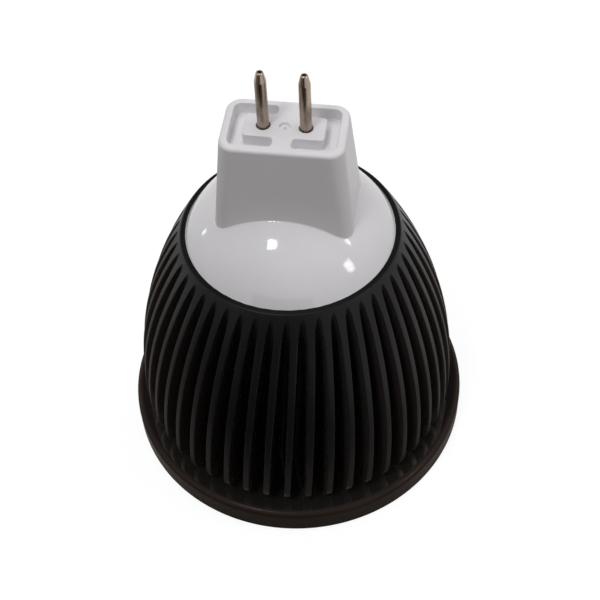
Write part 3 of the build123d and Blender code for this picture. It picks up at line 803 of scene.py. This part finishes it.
def makeBaseHousing():
    size = baseHousing
    dome = (domeEdge ** 2 + size["domeHeight"] ** 2) / (2 * size["domeHeight"])
    domeZ = collarZ + size["domeHeight"] - dome
    outline = blockOutline()
    shape = bmesh.new()
    satin = shape.verts.layers.float.new("satin")

    # foot of the block: a small fillet that touches the wall and the dome
    footRound, footSteps, settlingRounds = size["footRound"], 5, 10
    draft = math.radians(size["blockDraft"])
    feet, domeStarts = [], []
    for spot in outline:
        toWall = -(spot[2] * math.cos(draft)).to_3d() - Vector((0, 0, math.sin(draft)))
        z = collarZ + size["domeHeight"]
        for step in range(settlingRounds):
            centre = blockPoint(spot, z).to_3d() + Vector((0, 0, z)) - toWall * footRound
            z += domeZ + math.sqrt((dome + footRound) ** 2 - centre.xy.length_squared) - centre.z
        toDome = (Vector((0, 0, domeZ)) - centre).normalized()
        feet.append([centre + toWall.slerp(toDome, k / footSteps) * footRound for k in range(footSteps + 1)])
        domeStarts.append(feet[-1][-1])

    # dome from the fillet out to the collar, on the exact sphere
    domeSteps = 14
    domeRows = [[] for step in range(domeSteps)]
    edgeTilt = math.asin(domeEdge / dome)
    for start in domeStarts:
        spoke = math.atan2(start.y, start.x)
        tilt = math.asin(math.hypot(start.x, start.y) / dome)
        for step in range(domeSteps):
            share = ((step + 1) / domeSteps) ** size["domeCrowding"]
            angle = tilt + (edgeTilt - tilt) * share
            radius = dome * math.sin(angle)
            domeRows[step].append((radius * math.cos(spoke), radius * math.sin(spoke),
                                   domeZ + dome * math.cos(angle)))

    # skirt and hollow, as rings on the same spokes as the dome's edge
    spokes = [math.atan2(point[1], point[0]) for point in domeRows[-1]]
    inner = dome - size["shellWall"]
    snapZ = skirtZ + size["snapZ"]
    snapHalf = size["snapHalf"]
    skirt, inside = size["skirtRadius"], size["skirtInside"]
    lowTilt, highTilt = math.asin(inside / inner), math.asin(size["neckRadius"] / inner)
    hollow = [(skirt, collarZ), (skirt, snapZ + snapHalf), (skirt + size["snapHeight"], snapZ),
              (skirt, snapZ - snapHalf), (skirt, skirtZ), (inside, skirtZ)]
    hollowSteps = 8
    for step in range(hollowSteps + 1):
        tilt = lowTilt + (highTilt - lowTilt) * step / hollowSteps
        hollow.append((inner * math.sin(tilt), domeZ + inner * math.cos(tilt)))
    hollow.append((size["neckRadius"], blockZ - size["ceiling"]))
    hollowRows = [[(radius * math.cos(a), radius * math.sin(a), z) for a in spokes] for radius, z in hollow]

    # walls, the rounded top edge, and the first run of the flat top
    topRound = size["topRound"]
    wallRows = [[foot[k] for foot in feet] for k in range(footSteps, -1, -1)]
    wallTop = blockZ - topRound
    wallRows.append([point + Vector((0, 0, hold)) for point in wallRows[-1]])
    for z in (wallTop - hold, wallTop):
        wallRows.append(blockRow(outline, z))
    roundSteps = 6
    for step in range(1, roundSteps + 1):
        angle = math.pi / 2 * step / roundSteps
        z = wallTop + topRound * math.sin(angle)
        inset = topRound * (1 - math.cos(angle))
        wallRows.append(blockRow(outline, z, inset))
    wallRows.append(blockRow(outline, blockZ, topRound + hold))
    rows = stack(shape, hollowRows[::-1] + domeRows[::-1] + wallRows)
    shape.faces.new(rows[0])
    for row in rows[footSteps + 1 - len(wallRows):]:
        for vertex in row:
            vertex[satin] = 1.0

    # recesses in the top face
    rims = [rows[-1]]
    floors = []
    for side in (-1, 1):
        rim, floor = sink(shape, grooveOutline(side), size["grooveDepth"], size["lip"], size["root"])
        rims.append(rim)
        floors.append(floor)
    for side in (-1, 1):
        hole = circleLoop(size["holeRadius"], (side * pinPitch / 2, 0), size["holePoints"])
        rim, floor = sink(shape, hole, size["holeDepth"], size["lip"] / 2, size["root"] / 2)
        rims.append(rim)
        floors.append(floor)
    dimple = circleLoop(size["dimpleRadius"], (0, 0), size["dimplePoints"])
    rim, floor = sink(shape, dimple, size["dimpleDepth"], size["lip"] / 2, size["root"])
    rims.append(rim)
    gateZ = blockZ - size["dimpleDepth"]
    gate = [(size["gateRadius"], gateZ), (size["gateRadius"] / 2, gateZ + size["gateHeight"])]
    gateLoops = [[vertex.co.copy() for vertex in floor]]
    for radius, z in gate:
        gateLoops.append([point.to_3d() + Vector((0, 0, z))
                          for point in circleLoop(radius, (0, 0), size["dimplePoints"])])
    gateRows = stack(shape, gateLoops)
    shape.faces.new(gateRows[-1])
    for floor in floors:
        bmesh.ops.triangle_fill(shape, use_beauty=True, edges=loopEdges(shape, floor))
    edges = [edge for rim in rims for edge in loopEdges(shape, rim)]
    bmesh.ops.triangle_fill(shape, use_beauty=True, edges=edges, normal=(0, 0, 1))
    for vertex in shape.verts:
        if vertex.co.z > blockZ - size["grooveDepth"] - hold:
            vertex[satin] = 1.0
    dress(pieceFrom("baseHousing", shape, whitePolycarbonate(), sharp=38), "white_plastic", "base_housing")


# Contact pins, turned
contactPin = {
    "radius": 0.75,
    "tipLength": 1.5,
    "tipRadius": 0.45,
    "tipRound": 0.3,
    "tipCrown": 0.18,          # the end is slightly domed, so that it catches the light
    "tipShoulder": 0.06,
    "neckRadius": 0.55,
    "neckDepth": 1.2,
    "flangeRadius": 1.3,
    "flangeThickness": 0.8,
    "edge": 0.08,
    "segments": 40,
}


def makePins():
    size = contactPin
    finish = nickelPlate()
    tipZ = pinHigh.z
    flangeTop = blockZ - baseHousing["ceiling"]
    flangeBottom = flangeTop - size["flangeThickness"]
    neckZ = blockZ - size["neckDepth"]
    edge = size["edge"]
    corners = [(0, pinLow.z, 0), (size["radius"], pinLow.z, edge), (size["radius"], flangeBottom, 0),
               (size["flangeRadius"], flangeBottom, edge), (size["flangeRadius"], flangeTop, edge),
               (size["radius"], flangeTop, 0), (size["radius"], neckZ, edge), (size["neckRadius"], neckZ, 0),
               (size["neckRadius"], blockZ, 0), (size["radius"], blockZ, edge),
               (size["radius"], tipZ - size["tipLength"], size["tipShoulder"]),
               (size["tipRadius"], tipZ - size["tipCrown"], size["tipRound"]), (0, tipZ, 0)]
    profile = rounded(corners, steps=5, hold=0.02)
    for name, node, side in (("pinLeft", "pin_left", -1), ("pinRight", "pin_right", 1)):
        shape = bmesh.new()
        turn(shape, profile, size["segments"], (side * pinPitch / 2, 0))
        dress(pieceFrom(name, shape, finish), "nickel_plate", node)


makeHeatSink()
makeFrontRing()
makeLens()
makeLensClip()
makeBaseHousing()
makePins()
for node, recipe in innerFinishes.items():
    material = innerMaterial(*recipe)
    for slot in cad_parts[node].material_slots:
        slot.material = material
print("inner pieces finished:", len(innerFinishes))


# Floor, lights, world and camera
studio = {
    "floorSize": 3.0,          # metres
    "floorColour": "#78706a",  # what it bounces; a glow brings it up to white in view
    "floorLight": 0.70,        # how much lamp light falls on it
    "worldLight": 0.165,
    "lampDistance": 0.7,       # metres from the bulb
    "lampAim": 0.04,           # metres up the bulb
}
cards = {
    # cards unseen by the camera, for the dark pieces to mirror: middle, across and along in metres, colour
    "ceilingCard": ((-0.05, 0.45, 0.82), (0.65, 0.10, 0.0), (0.0, -0.45, 0.30), "#2a221d"),
    "frontCard": ((0.003, -0.252, 0.0002), (0.043, 0.0, 0.0), (0.0, 0.218, 0.0), "#33271f"),
    "standingCard": ((0.0, -0.47, 0.08), (0.25, 0.0, 0.0), (0.0, 0.0, 0.08), "#33271f"),
    "leftCard": ((-0.17, -0.252, 0.0002), (0.13, 0.0, 0.0), (0.0, 0.218, 0.0), "#6e645c"),
    "nearCard": ((-0.016, 0.004, 0.0002), (0.064, 0.0, 0.0), (0.0, 0.038, 0.0), "#b4a9a0"),
}
lamps = {
    # direction from the bulb, width and height as angles in degrees, turn about that direction, radiance
    "ceilingPanel": ((-0.240, -0.398, 0.885), 8.6, 8.4, 32, 26.0),
    "ceilingSail": ((-0.240, -0.398, 0.885), 24.0, 24.0, 32, 2.6),
    "overheadSail": ((-0.10, 0.28, 0.95), 60.0, 50.0, 0, 1.5),
    "rightWindow": ((0.895, -0.269, 0.356), 8.0, 11.0, 0, 12.0),
    "rightDoor": ((0.835, 0.02, 0.55), 3.0, 7.0, 0, 12.0),
    "rightSail": ((0.86, 0.20, 0.47), 40.0, 40.0, 0, 1.1),
    "leftLamp": ((-0.963, 0.262, 0.06), 3.0, 5.0, 0, 9.0),
}


def seenOrMirrored(tree):
    # 1 for what the camera sees directly, in a mirror or through glass
    path = addNode(tree, "ShaderNodeLightPath").outputs
    most = addNode(tree, "ShaderNodeMath", {"operation": "MAXIMUM"},
                   {0: path["Is Camera Ray"], 1: path["Is Glossy Ray"]})
    return addNode(tree, "ShaderNodeMath", {"operation": "MAXIMUM"},
                   {0: most, 1: path["Is Transmission Ray"]})


def stageSheet(name, finish, middle, across, along):
    # a flat sheet that isn't part of the bulb, and the empty tree of its material
    middle, across, along = Vector(middle), Vector(across), Vector(along)
    corners = [middle + across * x + along * y for x, y in ((-1, -1), (1, -1), (1, 1), (-1, 1))]
    mesh = bpy.data.meshes.new(name)
    mesh.from_pydata(corners, [], [(0, 1, 2, 3)])
    material, tree = emptyMaterial(finish)
    mesh.materials.append(material)
    sheet = bpy.data.objects.new(name, mesh)
    bpy.context.scene.collection.objects.link(sheet)
    return sheet, tree


def makeFloor():
    half = studio["floorSize"] / 2
    floor, tree = stageSheet("floor", "pale_paper", (0, 0, 0), (half, 0, 0), (0, half, 0))
    colour = linear(studio["floorColour"])
    lack = [1 - channel * studio["floorLight"] for channel in colour[:3]] + [1.0]  # up to white, out of shadow
    paper = addNode(tree, "ShaderNodeBsdfDiffuse", {"Color": colour})
    glow = addNode(tree, "ShaderNodeEmission", {"Color": lack}, {"Strength": seenOrMirrored(tree)})
    both = addNode(tree, "ShaderNodeAddShader", links={0: paper, 1: glow})
    addNode(tree, "ShaderNodeOutputMaterial", links={"Surface": both})


def makeCards():
    for name, (middle, across, along, colour) in cards.items():
        card, tree = stageSheet(name, "felt", middle, across, along)
        felt = addNode(tree, "ShaderNodeBsdfDiffuse", {"Color": linear(colour)})
        addNode(tree, "ShaderNodeOutputMaterial", links={"Surface": felt})
        card.visible_camera = card.visible_diffuse = card.visible_shadow = card.visible_transmission = False


def makeWorld():
    world = bpy.data.worlds.new("studioWorld")
    bpy.context.scene.world = world
    world.use_nodes = True
    tree = world.node_tree
    tree.nodes.clear()
    white = addNode(tree, "ShaderNodeBackground", {"Color": (1, 1, 1, 1), "Strength": 1.0})
    light = addNode(tree, "ShaderNodeBackground", {"Color": (1, 1, 1, 1), "Strength": studio["worldLight"]})
    both = addNode(tree, "ShaderNodeMixShader", links={0: seenOrMirrored(tree), 1: light, 2: white})
    addNode(tree, "ShaderNodeOutputWorld", links={"Surface": both})


def makeLamps():
    aim = Vector((0, 0, studio["lampAim"]))
    for name, (direction, width, height, roll, radiance) in lamps.items():
        light = bpy.data.lights.new(name, "AREA")
        light.shape = "RECTANGLE"
        light.size = 2 * studio["lampDistance"] * math.tan(math.radians(width / 2))
        light.size_y = 2 * studio["lampDistance"] * math.tan(math.radians(height / 2))
        light.energy = radiance * math.pi * light.size * light.size_y
        lamp = bpy.data.objects.new(name, light)
        lamp.location = aim + Vector(direction).normalized() * studio["lampDistance"]
        facing = (aim - lamp.location).to_track_quat("-Z", "Y")
        lamp.rotation_euler = (facing @ Quaternion((0, 0, 1), math.radians(roll))).to_euler()
        lamp.visible_camera = False
        lamp.visible_glossy = not name.endswith("Sail")  # a sail only fills, and leaves no highlight
        bpy.context.scene.collection.objects.link(lamp)


photoCamera = {
    "stand": (20.123, -108.285, 160.063),   # mm
    "target": (1.907, -5.918, 30.0),        # mm
    "roll": -2.814,                         # degrees
    "lens": 73.0,                           # mm
    "sensor": 36.0,                         # mm
    "nearest": 0.01,                        # metres: nothing closer is drawn
}


def makeCamera():
    data = bpy.data.cameras.new("photoCamera")
    data.lens = photoCamera["lens"]
    data.sensor_width = photoCamera["sensor"]
    data.clip_start = photoCamera["nearest"]
    data.dof.use_dof = False
    camera = bpy.data.objects.new("photoCamera", data)
    stand, target = Vector(photoCamera["stand"]) * mm, Vector(photoCamera["target"]) * mm
    look = (target - stand).to_track_quat("-Z", "Y").to_matrix().to_4x4()
    roll = Matrix.Rotation(math.radians(photoCamera["roll"]), 4, "Z")
    camera.matrix_world = Matrix.Translation(stand) @ look @ roll
    bpy.context.scene.collection.objects.link(camera)
    bpy.context.scene.camera = camera


makeFloor()
makeCards()
makeWorld()
makeLamps()
makeCamera()
bpy.context.scene.view_settings.view_transform = "Standard"
print("studio ready")
